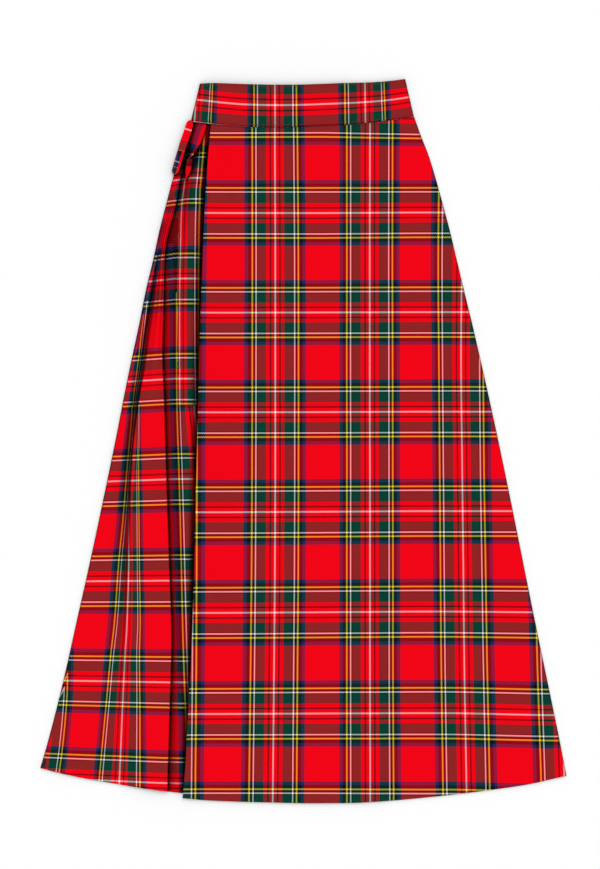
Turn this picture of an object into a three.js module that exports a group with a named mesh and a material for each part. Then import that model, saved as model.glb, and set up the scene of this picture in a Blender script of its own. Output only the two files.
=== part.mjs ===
// A long wrap skirt in tartan cloth, laid face up on a flat surface.
// Millimetres. +X is to the right of the skirt as it is seen, +Y runs from hem to waist, +Z is up.
// The origin is at the middle of the outline, on the surface that the skirt lies on.
//
// Two front panels cross over each other: the under panel hangs from the left side and is gathered
// into folds there, and the over panel lies flat on top of it and is free along its left edge. The
// back panel lies below both. Each has its own stretch of waistband, and the ties hang at the left hip.

import * as THREE from "three";

// Thickness of the cloth, and how the layers lie on each other. MID is the height of a wall's middle.
const WALL = 1.2; // one layer of cloth, with its air
const BAND_WALL = 2.4; // the waistband: cloth, stiffening and cloth
const GAP = 0.3; // between two pieces that are sewn together or lie on each other
const WAIST_SEAM = 0.6; // the same along the curved waist seam, so that its chords stay apart too
const BACK_MID = WALL / 2;
const UNDER_MID = BACK_MID + WALL + GAP;
const OVER_MID = UNDER_MID + WALL + GAP;
const BAND_BACK_MID = BAND_WALL / 2;
const BAND_UNDER_MID = BAND_BACK_MID + BAND_WALL + GAP;
const BAND_OVER_MID = BAND_UNDER_MID + BAND_WALL + GAP;

// The two sides of the skirt, from the waist down.
const SIDES = [
  { y: 463, left: -161, right: 163 },
  { y: 443, left: -168, right: 170 },
  { y: 414, left: -178, right: 181.5 },
  { y: 385, left: -187.5, right: 190.5 },
  { y: 349, left: -197, right: 200.5 },
  { y: 306, left: -208, right: 212 },
  { y: 262, left: -217.5, right: 222.5 },
  { y: 218, left: -228, right: 233 },
  { y: 175, left: -236.5, right: 243.5 },
  { y: 88, left: -255, right: 263.5 },
  { y: 1, left: -272, right: 282.5 },
  { y: -86, left: -290, right: 300.5 },
  { y: -173, left: -308.5, right: 318 },
  { y: -260, left: -328, right: 335.5 },
  { y: -347, left: -347.5, right: 353.5 },
  { y: -434, left: -369.5, right: 371.5 },
  { y: -485, left: -384.3, right: 381.2 },
];

// The hems of the two front panels.
const UNDER_HEM = [
  { x: -381, y: -473 },
  { x: -352, y: -480.5 },
  { x: -317, y: -488 },
  { x: -265, y: -497 },
  { x: -213, y: -505 },
  { x: -178, y: -509 },
  { x: -120, y: -513 },
  { x: 120, y: -514 },
];
const OVER_HEM = [
  { x: -173.5, y: -516.5 },
  { x: -143, y: -519.5 },
  { x: -108, y: -521.2 },
  { x: -56, y: -522.7 },
  { x: 13, y: -524 },
  { x: 65, y: -523.7 },
  { x: 118, y: -521 },
  { x: 170, y: -516.5 },
  { x: 222, y: -511 },
  { x: 274, y: -504.5 },
  { x: 327, y: -496.5 },
  { x: 361, y: -489 },
  { x: 381, y: -484.5 },
];
const BACK_HEM_INSET = 3; // the back panel ends this far inside the front ones

// The waistband: its upper and lower edge, from the left end to the right.
const BAND_TOP = [
  { x: -149, y: 517 },
  { x: -133, y: 518 },
  { x: -81, y: 516.5 },
  { x: -40, y: 515.7 },
  { x: -4, y: 515.8 },
  { x: 25, y: 516.8 },
  { x: 77, y: 518.6 },
  { x: 97, y: 519.2 },
  { x: 126, y: 521.3 },
  { x: 147.7, y: 524 },
];
const BAND_LOW = [
  { x: -161, y: 463 },
  { x: -139, y: 460.6 },
  { x: -123, y: 459.2 },
  { x: -82, y: 455.8 },
  { x: -40, y: 455.2 },
  { x: 25, y: 457.3 },
  { x: 67, y: 459.2 },
  { x: 100, y: 462 },
  { x: 128, y: 465.3 },
  { x: 160, y: 470.7 },
];

// The over panel's free left edge, and the under panel's hidden edge beneath the over panel.
const FREE_EDGE = [
  { y: 462, x: -133.5 },
  { y: 392, x: -139.3 },
  { y: 305, x: -143.9 },
  { y: 172, x: -149 },
  { y: -57, x: -154.8 },
  { y: -289, x: -160.6 },
  { y: -463, x: -168.7 },
  { y: -517, x: -173.6 },
];
const HIDDEN_EDGE = [
  { y: 462, x: 58 },
  { y: -517, x: 112 },
];

// The folds of the under panel. Fold A is the long one beside the over panel, and fold B the shorter
// one to its left. The ridge between them lies over the cloth on both sides. At each fold the cloth
// turns by turn degrees, runs back for tuck and turns forward again: fold A goes down to the height
// low on its right, and fold B comes up from the height low on its left. x is the ridge's own edge.
const FOLD_A = [
  { y: 462, x: -149, turn: 4, tuck: 1, low: 3.3 },
  { y: 440, x: -156.6, turn: 30, tuck: 1.5, low: 3 },
  { y: 414, x: -167.2, turn: 55, tuck: 1.5, low: 2.6 },
  { y: 385, x: -176, turn: 150, tuck: 2, low: UNDER_MID },
  { y: 349, x: -182.7, turn: 172, tuck: 4, low: UNDER_MID },
  { y: 327, x: -187.5, turn: 180, tuck: 5, low: UNDER_MID },
  { y: 306, x: -193.5, turn: 180, tuck: 4.5, low: UNDER_MID },
  { y: 285, x: -198, turn: 180, tuck: 4, low: UNDER_MID },
  { y: 262, x: -200.2, turn: 180, tuck: 3, low: UNDER_MID },
  { y: 240, x: -200.9, turn: 180, tuck: 4, low: UNDER_MID },
  { y: 190, x: -201.7, turn: 180, tuck: 5, low: UNDER_MID },
  { y: 130, x: -203.2, turn: 180, tuck: 6, low: UNDER_MID },
  { y: 59, x: -200.7, turn: 180, tuck: 6, low: UNDER_MID },
  { y: -50, x: -197.5, turn: 180, tuck: 5, low: UNDER_MID },
  { y: -180, x: -193.3, turn: 180, tuck: 4, low: UNDER_MID },
  { y: -285, x: -190.3, turn: 180, tuck: 4, low: UNDER_MID },
  { y: -400, x: -193, turn: 180, tuck: 3.5, low: UNDER_MID },
  { y: -514, x: -196.3, turn: 180, tuck: 3, low: UNDER_MID },
];
const FOLD_B = [
  { y: 462, x: -155, turn: 4, tuck: 1, low: 3.3 },
  { y: 440, x: -163.4, turn: 4, tuck: 1, low: 3.8 },
  { y: 414, x: -172.9, turn: 4, tuck: 0.6, low: 4.6 },
  { y: 385, x: -181.3, turn: 4, tuck: 0.8, low: 6.5 },
  { y: 349, x: -191, turn: 4, tuck: 1, low: 6.4 },
  { y: 327, x: -196, turn: 4, tuck: 1, low: 6.4 },
  { y: 306, x: -201.5, turn: 5, tuck: 1, low: 6.1 },
  { y: 285, x: -206, turn: 10, tuck: 1, low: 5.4 },
  { y: 262, x: -210, turn: 40, tuck: 1.5, low: 4 },
  { y: 240, x: -213.2, turn: 110, tuck: 2, low: 2.6 },
  { y: 218, x: -216.3, turn: 170, tuck: 3, low: UNDER_MID },
  { y: 190, x: -219.8, turn: 180, tuck: 4, low: UNDER_MID },
  { y: 160, x: -224.3, turn: 180, tuck: 5, low: UNDER_MID },
  { y: 130, x: -228.3, turn: 180, tuck: 6, low: UNDER_MID },
  { y: 95, x: -232, turn: 180, tuck: 6.5, low: UNDER_MID },
  { y: 59, x: -235, turn: 178, tuck: 6.5, low: UNDER_MID },
  { y: 25, x: -235.2, turn: 150, tuck: 5, low: UNDER_MID },
  { y: -13, x: -237, turn: 95, tuck: 2.5, low: UNDER_MID },
  { y: -50, x: -240, turn: 50, tuck: 3.5, low: UNDER_MID },
  { y: -90, x: -244, turn: 32, tuck: 5, low: UNDER_MID },
  { y: -135, x: -249.5, turn: 22, tuck: 6, low: UNDER_MID },
  { y: -180, x: -253.5, turn: 16, tuck: 7, low: UNDER_MID },
  { y: -285, x: -259, turn: 11, tuck: 7, low: UNDER_MID },
  { y: -400, x: -263, turn: 8, tuck: 7, low: UNDER_MID },
  { y: -514, x: -266, turn: 8, tuck: 7, low: UNDER_MID },
];

// The ridges between the folds: the height of the rolled left side, and how far each ridge stands
// proud of the line between its two ends.
const RIDGES = [
  { y: 462, rim: 3.3, outer: 0, middle: 0, inner: 0 },
  { y: 440, rim: 3.8, outer: 0, middle: 0.2, inner: 1 },
  { y: 414, rim: 4.6, outer: 0, middle: 0.1, inner: 2.5 },
  { y: 385, rim: 6, outer: 0.1, middle: 0.1, inner: 4 },
  { y: 349, rim: 6, outer: 0.6, middle: 0.8, inner: 5.5 },
  { y: 327, rim: 5.9, outer: 0.8, middle: 1.2, inner: 6.5 },
  { y: 306, rim: 5.5, outer: 0.8, middle: 1.6, inner: 7 },
  { y: 285, rim: 5, outer: 0.4, middle: 2.2, inner: 7.5 },
  { y: 262, rim: 4.8, outer: 0.3, middle: 3.4, inner: 8 },
  { y: 240, rim: 4.8, outer: 0.8, middle: 4, inner: 8 },
  { y: 190, rim: 4.8, outer: 2, middle: 5, inner: 8 },
  { y: 130, rim: 4.8, outer: 3, middle: 5.6, inner: 8 },
  { y: 59, rim: 4.6, outer: 4, middle: 5.4, inner: 7.5 },
  { y: -50, rim: 4, outer: 3, middle: 4.6, inner: 6.5 },
  { y: -180, rim: 3.4, outer: 1.8, middle: 3.2, inner: 5.5 },
  { y: -285, rim: 3, outer: 1.2, middle: 2.2, inner: 4.5 },
  { y: -514, rim: 3, outer: 0.8, middle: 1.8, inner: 2.5 },
];
const BEND = 0.97; // radius of the middle of the wall where the cloth turns back on itself
const FOLD_CLEAR = 1.4; // the outer ridge comes down this far before fold B
const RIDGE_CLEAR = 1; // and the inner ridge before the over panel's free edge

// The heights of the rows that the panels are made of, closest where the folds change fastest.
const ROWS = [
  462, 440, 414, 385, 349, 327, 306, 285, 262, 240, 218, 190, 160, 130, 95, 59, 25, -13, -50, -90,
  -135, -180, -230, -285, -340, -400, -455, -514,
];
const WAIST_ROW = ROWS[0];
const HEM_ROW = ROWS[ROWS.length - 1];
const CURVE_FROM = { waist: 330, hem: -250 }; // beyond these heights the rows begin to curve
const RISE_LENGTH = 45; // length over which the front panels rise to meet the waistband
const SIDE_ROLL = 3.4; // a side seam rolls down to the surface within this reach
const BAND_ROLL = 4; // and so do the ends of the front waistband
const UPRIGHT = 0.25; // share of a rolled side's height that stands upright
const FREE_EDGE_LIFT = { height: 1.4, reach: 26 }; // the free edge stands a little off the panel below
const STEP_DOWN = 14; // a front piece comes down by one layer over this width
const STEPS = { roll: 3, bend: 4, ramp: 4, flat: 5, outer: 4, middle: 6, inner: 7, band: 14, bandDown: 3 };

// The ties: centre line and width, from the waistband down. roll turns the strip about its length.
const TIE_WALL = 1.4;
const LOOP = [
  { x: -162.4, y: 461.5, width: 9.5 },
  { x: -165.2, y: 452, width: 10.6 },
  { x: -170.6, y: 435, width: 11 },
  { x: -176, y: 417, width: 10.6 },
  { x: -181, y: 401, width: 9.6 },
  { x: -185.2, y: 388, width: 8 },
];
const LOOP_TILT = 12; // degrees, its outer side lower
const LOOP_HOLLOW = 1; // between its two layers
const LOOP_TURN_STEPS = 4; // steps round each end of the loop
const TAIL = [
  { x: -147.2, y: 459.7, width: 15, roll: 0 },
  { x: -150.4, y: 449, width: 15.4, roll: 0 },
  { x: -154, y: 438, width: 14.4, roll: 2 },
  { x: -158.2, y: 427.5, width: 11.6, roll: 14 },
  { x: -162, y: 418.6, width: 7, roll: 48 },
  { x: -163.8, y: 411.5, width: 4.6, roll: 90 },
  { x: -165, y: 404.6, width: 7, roll: 134 },
  { x: -167.2, y: 395, width: 8, roll: 168 },
  { x: -169.8, y: 384, width: 7, roll: 178 },
  { x: -172.2, y: 373.5, width: 4, roll: 180 },
];
// A tie clears all the cloth that lies this near to it.
const TAIL_REST = { along: 9, aside: 2.5 };
const LOOP_REST = { along: 3, aside: 0 };

const DEGREE = Math.PI / 180;
const lerp = (a, b, t) => a + (b - a) * t;
const clamp01 = (t) => Math.min(1, Math.max(0, t));
const ease = (t) => clamp01(t) ** 2 * (3 - 2 * clamp01(t));
const lastOf = (list) => list[list.length - 1];

// A smooth curve through one column of a table, by the values of another. It never swings past the
// values of the rows on either side, and runs on straight beyond the first and last.
function column(table, key, value) {
  const rows = [...table].sort((a, b) => a[key] - b[key]);
  const rise = rows.slice(1).map((row, i) => (row[value] - rows[i][value]) / (row[key] - rows[i][key]));
  const slope = rows.map((_, i) => {
    const before = rise[Math.max(0, i - 1)];
    const after = rise[Math.min(rise.length - 1, i)];
    return before * after > 0 ? (2 * before * after) / (before + after) : 0;
  });
  return (at) => {
    const above = rows.findIndex((row) => row[key] > at);
    if (above === 0) return rows[0][value] + slope[0] * (at - rows[0][key]);
    if (above < 0) return lastOf(rows)[value] + lastOf(slope) * (at - lastOf(rows)[key]);
    const [low, high] = [rows[above - 1], rows[above]];
    const span = high[key] - low[key];
    const t = (at - low[key]) / span;
    return (
      (1 + 2 * t) * (1 - t) ** 2 * low[value] +
      t * (1 - t) ** 2 * span * slope[above - 1] +
      t ** 2 * (3 - 2 * t) * high[value] -
      t ** 2 * (1 - t) * span * slope[above]
    );
  };
}

// The curves of all columns of a table but its key, together.
function columns(table, key) {
  const names = Object.keys(table[0]).filter((name) => name !== key);
  const curves = names.map((name) => [name, column(table, key, name)]);
  return (at) => Object.fromEntries(curves.map(([name, curve]) => [name, curve(at)]));
}

const leftSide = column(SIDES, "y", "left");
const rightSide = column(SIDES, "y", "right");
const freeEdge = column(FREE_EDGE, "y", "x");
const hiddenEdge = column(HIDDEN_EDGE, "y", "x");
const bandTop = column(BAND_TOP, "x", "y");
const bandLow = column(BAND_LOW, "x", "y");
const underHem = column(UNDER_HEM, "x", "y");
const overHem = column(OVER_HEM, "x", "y");
const foldA = columns(FOLD_A, "y");
const foldB = columns(FOLD_B, "y");
const ridges = columns(RIDGES, "y");
const backHem = (x) => Math.max(underHem(Math.min(x, 0)), overHem(Math.max(x, 0))) + BACK_HEM_INSET;

// A row is a level line across the skirt, but near the waist and the hem it takes their curve.
function rowHeight(x, y, hem) {
  const waistShare = ease((y - CURVE_FROM.waist) / (WAIST_ROW - CURVE_FROM.waist));
  const hemShare = ease((y - CURVE_FROM.hem) / (HEM_ROW - CURVE_FROM.hem));
  return y + waistShare * (bandLow(x) - WAIST_SEAM - WAIST_ROW) + hemShare * (hem(x) - HEM_ROW);
}

// Where a side line crosses a curved row.
function onRow(side, y, hem) {
  let x = side(y);
  for (let i = 0; i < 4; i += 1) x = side(rowHeight(x, y, hem));
  return x;
}

// A path across the skirt in the plane of x and z, made of stretches that join without a corner.
class Section {
  constructor() {
    this.points = [];
  }

  to(x, z) {
    this.points.push({ x, z });
  }

  get end() {
    return lastOf(this.points);
  }

  // Rise from the surface at a side seam to the given height, upright at first.
  rollUp(x, height, reach) {
    this.to(x, 0);
    for (let i = 0; i <= STEPS.roll; i += 1) {
      const a = (i / STEPS.roll) * (Math.PI / 2);
      this.to(x + reach * (1 - Math.cos(a)), lerp(UPRIGHT * height, height, Math.sin(a)));
    }
  }

  // The same on the other side, from the height that the path has reached.
  rollDown(x, reach) {
    const height = this.end.z;
    for (let i = 0; i <= STEPS.roll; i += 1) {
      const a = (i / STEPS.roll) * (Math.PI / 2);
      this.to(x - reach * (1 - Math.sin(a)), lerp(UPRIGHT * height, height, Math.cos(a)));
    }
    this.to(x, 0);
  }

  // A smooth run to x, z, standing proud of the line between its ends by crest.
  run(x, z, crest, steps) {
    const start = this.end;
    for (let i = 1; i <= steps; i += 1) {
      const t = i / steps;
      this.to(lerp(start.x, x, t), lerp(start.z, z, ease(t)) + crest * 16 * (t * (1 - t)) ** 2);
    }
  }

  // The cloth turns up or down, as rise is 1 or -1, runs back for tuck, turns forward again and runs
  // out past the bend.
  fold(turn, tuck, rise) {
    const bendX = this.end.x;
    for (const first of [true, false]) {
      const { x, z } = this.end;
      for (let i = 1; i <= STEPS.bend; i += 1) {
        const a = (i / STEPS.bend) * turn;
        const along = first ? Math.sin(a) : Math.sin(turn) - Math.sin(turn - a);
        const away = first ? 1 - Math.cos(a) : Math.cos(turn - a) - Math.cos(turn);
        this.to(x + BEND * along, z + rise * BEND * away);
      }
      if (first) this.to(this.end.x + tuck * Math.cos(turn), this.end.z + rise * tuck * Math.sin(turn));
    }
    this.to(Math.max(this.end.x, bendX) + BEND, this.end.z);
  }
}

// Where fold A begins to turn down, so that its outer bend is at the fold's x and it ends at its low.
function startDown({ x, turn, tuck, low }) {
  const angle = turn * DEGREE;
  return {
    x: x - WALL / 2 - BEND * Math.sin(Math.min(angle, Math.PI / 2)),
    z: low + 2 * BEND * (1 - Math.cos(angle)) + tuck * Math.sin(angle),
  };
}

// Where fold B begins to turn up, so that its outer bend is at the fold's x.
function startUp({ x, turn, tuck, low }) {
  const angle = turn * DEGREE;
  const out = BEND - 2 * BEND * Math.sin(angle) - tuck * Math.cos(angle);
  return { x: x + WALL / 2 + out, z: low };
}

// How high a front piece's middle is: it rises from its flat height to the waistband's.
function frontHeight(y, flat, band) {
  return lerp(flat, band, ease((y - WAIST_ROW + RISE_LENGTH) / RISE_LENGTH));
}

function underSection(y) {
  const [a, b, ridge] = [foldA(y), foldB(y), ridges(y)];
  const flat = frontHeight(y, UNDER_MID, BAND_UNDER_MID);
  const section = new Section();
  section.rollUp(onRow(leftSide, y, underHem) + WALL / 2, ridge.rim, SIDE_ROLL);
  const clear = FOLD_CLEAR * ease(b.turn / 90);
  section.run(Math.min(b.x, startUp(b).x) - clear, b.low, ridge.outer, STEPS.outer);
  section.to(startUp(b).x, b.low);
  section.fold(b.turn * DEGREE, b.tuck, 1);
  section.run(startDown(a).x, startDown(a).z, ridge.middle, STEPS.middle);
  section.fold(a.turn * DEGREE, a.tuck, -1);
  section.run(freeEdge(y) - RIDGE_CLEAR, flat, ridge.inner, STEPS.inner);
  section.run(hiddenEdge(y), flat, 0, STEPS.flat);
  return section.points;
}

function overSection(y) {
  const onTop = frontHeight(y, OVER_MID, BAND_OVER_MID);
  const onBack = frontHeight(y, UNDER_MID, BAND_UNDER_MID);
  const lift = frontHeight(y, FREE_EDGE_LIFT.height, 0);
  const side = onRow(rightSide, y, overHem) - WALL / 2;
  const step = hiddenEdge(y) + 1;
  const section = new Section();
  section.to(freeEdge(y), onTop + lift);
  section.run(section.end.x + FREE_EDGE_LIFT.reach, onTop, 0, STEPS.ramp);
  section.run(step, onTop, 0, STEPS.flat);
  section.run(step + STEP_DOWN, onBack, 0, STEPS.ramp);
  section.run(side - SIDE_ROLL - STEP_DOWN, onBack, 0, STEPS.flat);
  section.rollDown(side, SIDE_ROLL);
  return section.points;
}

function backSection(y) {
  const inset = WALL / 2 + SIDE_ROLL + GAP;
  const section = new Section();
  section.to(onRow(leftSide, y, underHem) + inset, BACK_MID);
  section.run(onRow(rightSide, y, overHem) - inset, BACK_MID, 0, 3 * STEPS.flat);
  return section.points;
}

function panelRows(section, hem) {
  return ROWS.map((y) => section(y).map(({ x, z }) => ({ x, z, y: rowHeight(x, y, hem) })));
}

// A stretch of waistband: the rows run from its upper edge to its lower one, and the section gets
// the places of the whole band's two ends on each row.
function bandRows(section) {
  return Array.from({ length: STEPS.bandDown + 1 }, (_, i) => {
    const down = i / STEPS.bandDown;
    const topAt = (share) => lerp(BAND_TOP[0].x, lastOf(BAND_TOP).x, share);
    const lowAt = (share) => lerp(BAND_LOW[0].x, lastOf(BAND_LOW).x, share);
    const left = lerp(topAt(0), lowAt(0), down);
    const right = lerp(topAt(1), lowAt(1), down);
    return section(left, right).map(({ x, z }) => {
      const share = (x - left) / (right - left);
      return { x, z, y: lerp(bandTop(topAt(share)), bandLow(lowAt(share)), down) };
    });
  });
}

// The two waistbands that the front one covers end inside its rolled ends.
function innerBand(height, hiddenEnd) {
  const inset = BAND_WALL / 2 + BAND_ROLL + GAP;
  return (left, right) => {
    const section = new Section();
    section.to(left + inset, height);
    section.run(Math.min(hiddenEnd, right - inset), height, 0, STEPS.band);
    return section.points;
  };
}

function frontBand(left, right) {
  const step = hiddenEdge(WAIST_ROW) + 1;
  const end = right - BAND_WALL / 2;
  const section = new Section();
  section.rollUp(left + BAND_WALL / 2, BAND_OVER_MID, BAND_ROLL);
  section.run(step, BAND_OVER_MID, 0, STEPS.band - STEPS.flat);
  section.run(step + STEP_DOWN, BAND_UNDER_MID, 0, STEPS.ramp);
  section.run(end - BAND_ROLL - STEP_DOWN, BAND_UNDER_MID, 0, STEPS.flat);
  section.rollDown(end, BAND_ROLL);
  return section.points;
}

// The skin between rings of corners that all go round in the same order. Unless it is endless, its
// two ends are closed by strips across the ring, so a ring that doubles back has no crossing there.
function skin(rings, endless) {
  const size = rings[0].length;
  const index = [];
  const face = (a, b, c, d) => index.push(a, d, b, a, c, d);
  for (let r = 0; r < (endless ? rings.length : rings.length - 1); r += 1)
    for (let i = 0; i < size; i += 1) {
      const [here, next] = [r * size, ((r + 1) % rings.length) * size];
      face(here + i, here + ((i + 1) % size), next + i, next + ((i + 1) % size));
    }
  for (let i = 0; !endless && i + 1 < size / 2; i += 1) {
    const end = (rings.length - 1) * size;
    face(size - 1 - i, size - 2 - i, i, i + 1);
    face(end + i, end + i + 1, end + size - 1 - i, end + size - 2 - i);
  }
  const geometry = new THREE.BufferGeometry();
  const corners = rings.flat().flatMap(({ x, y, z }) => [x, y, z]);
  geometry.setAttribute("position", new THREE.Float32BufferAttribute(corners, 3));
  geometry.setIndex(index);
  geometry.computeVertexNormals();
  return geometry;
}

// A wall of cloth along rows of points: each ring runs along the outer side and back inside.
function wall(rows, thickness) {
  const rings = rows.map((row) => {
    const offsets = row.map((point, i) => {
      const before = row[Math.max(0, i - 1)];
      const into = new THREE.Vector2(point.x - before.x, point.z - before.z);
      const after = row[Math.min(row.length - 1, i + 1)];
      const out = new THREE.Vector2(after.x - point.x, after.z - point.z);
      if (i === 0) into.copy(out);
      if (i === row.length - 1) out.copy(into);
      const middle = into.normalize().clone().add(out.normalize()).normalize();
      return new THREE.Vector2(-middle.y, middle.x).multiplyScalar(thickness / 2 / middle.dot(out));
    });
    const side = (sign) =>
      row.map(({ x, y, z }, i) => ({ x: x + sign * offsets[i].x, y, z: z + sign * offsets[i].y }));
    return [...side(1), ...side(-1).reverse()];
  });
  return skin(rings, false);
}

// The height at which a strip of this half width clears the under panel.
function restHeight(x, y, halfWidth, rest) {
  const heights = [y - rest.along, y, y + rest.along].flatMap((near) =>
    underSection(near)
      .filter((point) => Math.abs(point.x - x) <= halfWidth + rest.aside)
      .map((point) => point.z),
  );
  return Math.max(...heights) + WALL / 2 + GAP;
}

// The four corners of a strip of cloth at one place: across and up are its own directions.
function stripRing({ x, y, z, width }, across, up) {
  const sides = [[-1, 1], [1, 1], [1, -1], [-1, -1]];
  return sides.map(([side, face]) =>
    new THREE.Vector3(x, y, z)
      .addScaledVector(across, (side * width) / 2)
      .addScaledVector(up, (face * TIE_WALL) / 2),
  );
}

function heading(before, after) {
  return new THREE.Vector3(after.x - before.x, after.y - before.y, after.z - before.z).normalize();
}

// The tail of the tie: it leaves the waistband flat, turns over once and ends in a point.
function tail() {
  const rows = TAIL.map((row) => {
    const flat = Math.abs(Math.cos(row.roll * DEGREE)) * row.width;
    const tall = Math.abs(Math.sin(row.roll * DEGREE)) * row.width;
    return { ...row, z: restHeight(row.x, row.y, flat / 2, TAIL_REST) + (TIE_WALL + tall) / 2 };
  });
  const rings = rows.map((row, i) => {
    const along = heading(rows[Math.max(0, i - 1)], rows[Math.min(rows.length - 1, i + 1)]);
    const level = new THREE.Vector3(0, 0, 1).cross(along).normalize();
    const across = level.applyAxisAngle(along, row.roll * DEGREE);
    return stripRing(row, across, along.clone().cross(across));
  });
  return skin(rings, false);
}

// The loop of the tie: a strip that runs down, turns under itself at the end and comes back up.
function loop() {
  const half = (TIE_WALL + LOOP_HOLLOW) / 2;
  const run = heading({ ...LOOP[0], z: 0 }, { ...lastOf(LOOP), z: 0 });
  const across = new THREE.Vector3(-run.y, run.x, Math.sin(LOOP_TILT * DEGREE)).normalize();
  const middle = LOOP.map((row) => ({
    ...row,
    z: restHeight(row.x, row.y, row.width / 2, LOOP_REST) + half + TIE_WALL / 2,
  }));
  const turned = (row, angle, way) => ({
    ...row,
    x: row.x + way * run.x * half * Math.sin(angle),
    y: row.y + way * run.y * half * Math.sin(angle),
    z: row.z + half * Math.cos(angle),
  });
  const bend = (row, way) =>
    Array.from({ length: LOOP_TURN_STEPS - 1 }, (_, i) =>
      turned(row, ((i + 1) / LOOP_TURN_STEPS) * Math.PI, way),
    );
  const path = [
    ...middle.map((row) => turned(row, 0, 1)),
    ...bend(lastOf(middle), 1),
    ...middle.map((row) => turned(row, Math.PI, 1)).reverse(),
    ...bend(middle[0], -1).reverse(),
  ];
  const rings = path.map((row, i) => {
    const along = heading(path[(i + path.length - 1) % path.length], path[(i + 1) % path.length]);
    return stripRing(row, across, along.cross(across).normalize());
  });
  return skin(rings, true);
}

const CLOTH = { roughness: 0.85, metalness: 0 };
const pieces = [
  { name: "back_panel", color: 0xa51420, geometry: wall(panelRows(backSection, backHem), WALL) },
  { name: "under_panel", color: 0xc21822, geometry: wall(panelRows(underSection, underHem), WALL) },
  { name: "over_panel", color: 0xd81c26, geometry: wall(panelRows(overSection, overHem), WALL) },
  {
    name: "waistband_back",
    color: 0x8a1a24,
    geometry: wall(bandRows(innerBand(BAND_BACK_MID, Infinity)), BAND_WALL),
  },
  {
    name: "waistband_under",
    color: 0x9c1a26,
    geometry: wall(bandRows(innerBand(BAND_UNDER_MID, hiddenEdge(WAIST_ROW))), BAND_WALL),
  },
  { name: "waistband_front", color: 0xb41c28, geometry: wall(bandRows(frontBand), BAND_WALL) },
  { name: "tie_loop", color: 0xe0202a, geometry: loop() },
  { name: "tie_tail", color: 0xcc2430, geometry: tail() },
];

const skirt = new THREE.Group();
for (const { name, color, geometry } of pieces) {
  const mesh = new THREE.Mesh(geometry, new THREE.MeshStandardMaterial({ color, ...CLOTH }));
  mesh.name = name;
  skirt.add(mesh);
}

export default skirt;
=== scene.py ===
# %% [markdown]
# # A tartan wrap skirt, laid out flat
#
# This lesson dresses a plain model of a long wrap skirt. The plain model gives each panel, each
# stretch of waistband and each tie its place and thickness. Here every one of them gets a finer
# cloth that lies in the same space, with softer folds, sewing and a woven tartan.
#
# The skirt lies face up. +X is to the right, +Y runs from the hem to the waist and +Z is up.

# %% Load the plain model
import math

import bpy
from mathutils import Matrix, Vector


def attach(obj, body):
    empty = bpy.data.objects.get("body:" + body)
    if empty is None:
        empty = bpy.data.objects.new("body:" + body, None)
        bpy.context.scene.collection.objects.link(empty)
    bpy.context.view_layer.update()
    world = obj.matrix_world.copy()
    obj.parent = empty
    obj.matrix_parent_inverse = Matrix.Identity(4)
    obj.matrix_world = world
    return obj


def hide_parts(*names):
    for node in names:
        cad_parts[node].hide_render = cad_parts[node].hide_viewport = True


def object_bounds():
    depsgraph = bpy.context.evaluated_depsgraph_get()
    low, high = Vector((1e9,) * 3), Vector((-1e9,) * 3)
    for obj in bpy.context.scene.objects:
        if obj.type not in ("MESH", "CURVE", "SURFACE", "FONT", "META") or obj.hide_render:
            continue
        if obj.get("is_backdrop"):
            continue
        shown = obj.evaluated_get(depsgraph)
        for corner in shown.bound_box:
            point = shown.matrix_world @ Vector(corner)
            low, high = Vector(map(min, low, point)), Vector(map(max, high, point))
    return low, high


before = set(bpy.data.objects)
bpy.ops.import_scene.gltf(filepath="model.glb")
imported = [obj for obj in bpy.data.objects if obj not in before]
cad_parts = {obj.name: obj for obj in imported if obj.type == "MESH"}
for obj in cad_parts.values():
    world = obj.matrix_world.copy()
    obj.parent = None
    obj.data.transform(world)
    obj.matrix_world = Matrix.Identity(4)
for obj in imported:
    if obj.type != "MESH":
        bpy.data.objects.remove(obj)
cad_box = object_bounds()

MM = 0.001


def show(box):
    print("box in mm:", [[round(c / MM, 1) for c in corner] for corner in box])


print("plain pieces:", ", ".join(sorted(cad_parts)))
show(cad_box)

# %% [markdown]
# ## Curves through short tables
#
# A maker measures a garment at a few heights and draws a fair curve through the marks. The tables
# below hold such marks in millimetres. The curve through them could be a spline, but a spline swings
# past its points; this one never does, because its slope is levelled wherever the marks turn back.


# %% A smooth curve through one column of a table
def curve(marks, key, value):
    rows = sorted(marks, key=lambda row: row[key])
    at = [row[key] for row in rows]
    out = [row[value] for row in rows]
    rise = [(out[i + 1] - out[i]) / (at[i + 1] - at[i]) for i in range(len(at) - 1)]
    slope = []
    for i in range(len(at)):
        before, after = rise[max(0, i - 1)], rise[min(len(rise) - 1, i)]
        slope.append(2 * before * after / (before + after) if before * after > 0 else 0)

    def value_at(x):
        if x <= at[0]:
            return out[0] + slope[0] * (x - at[0])
        if x >= at[-1]:
            return out[-1] + slope[-1] * (x - at[-1])
        i = max(k for k in range(len(at)) if at[k] <= x)
        span = at[i + 1] - at[i]
        t = (x - at[i]) / span
        return (
            (1 + 2 * t) * (1 - t) ** 2 * out[i]
            + t * (1 - t) ** 2 * span * slope[i]
            + t**2 * (3 - 2 * t) * out[i + 1]
            - t**2 * (1 - t) * span * slope[i + 1]
        )

    return value_at


def table(names, *rows):
    names = names.split()
    return [dict(zip(names, row)) for row in rows]


def lerp(a, b, t):
    return a + (b - a) * t


def ease(t):
    t = min(1, max(0, t))
    return t * t * (3 - 2 * t)


# %% [markdown]
# ## The outline of the skirt
#
# The two sides flare from the waist to the hem, and hems and waist seam are shallow curves. Rows of
# points run across the skirt. Most of them are level; near the waist and the hem they take the curve
# of the seam there, so that a panel ends exactly on its own edge.

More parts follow.
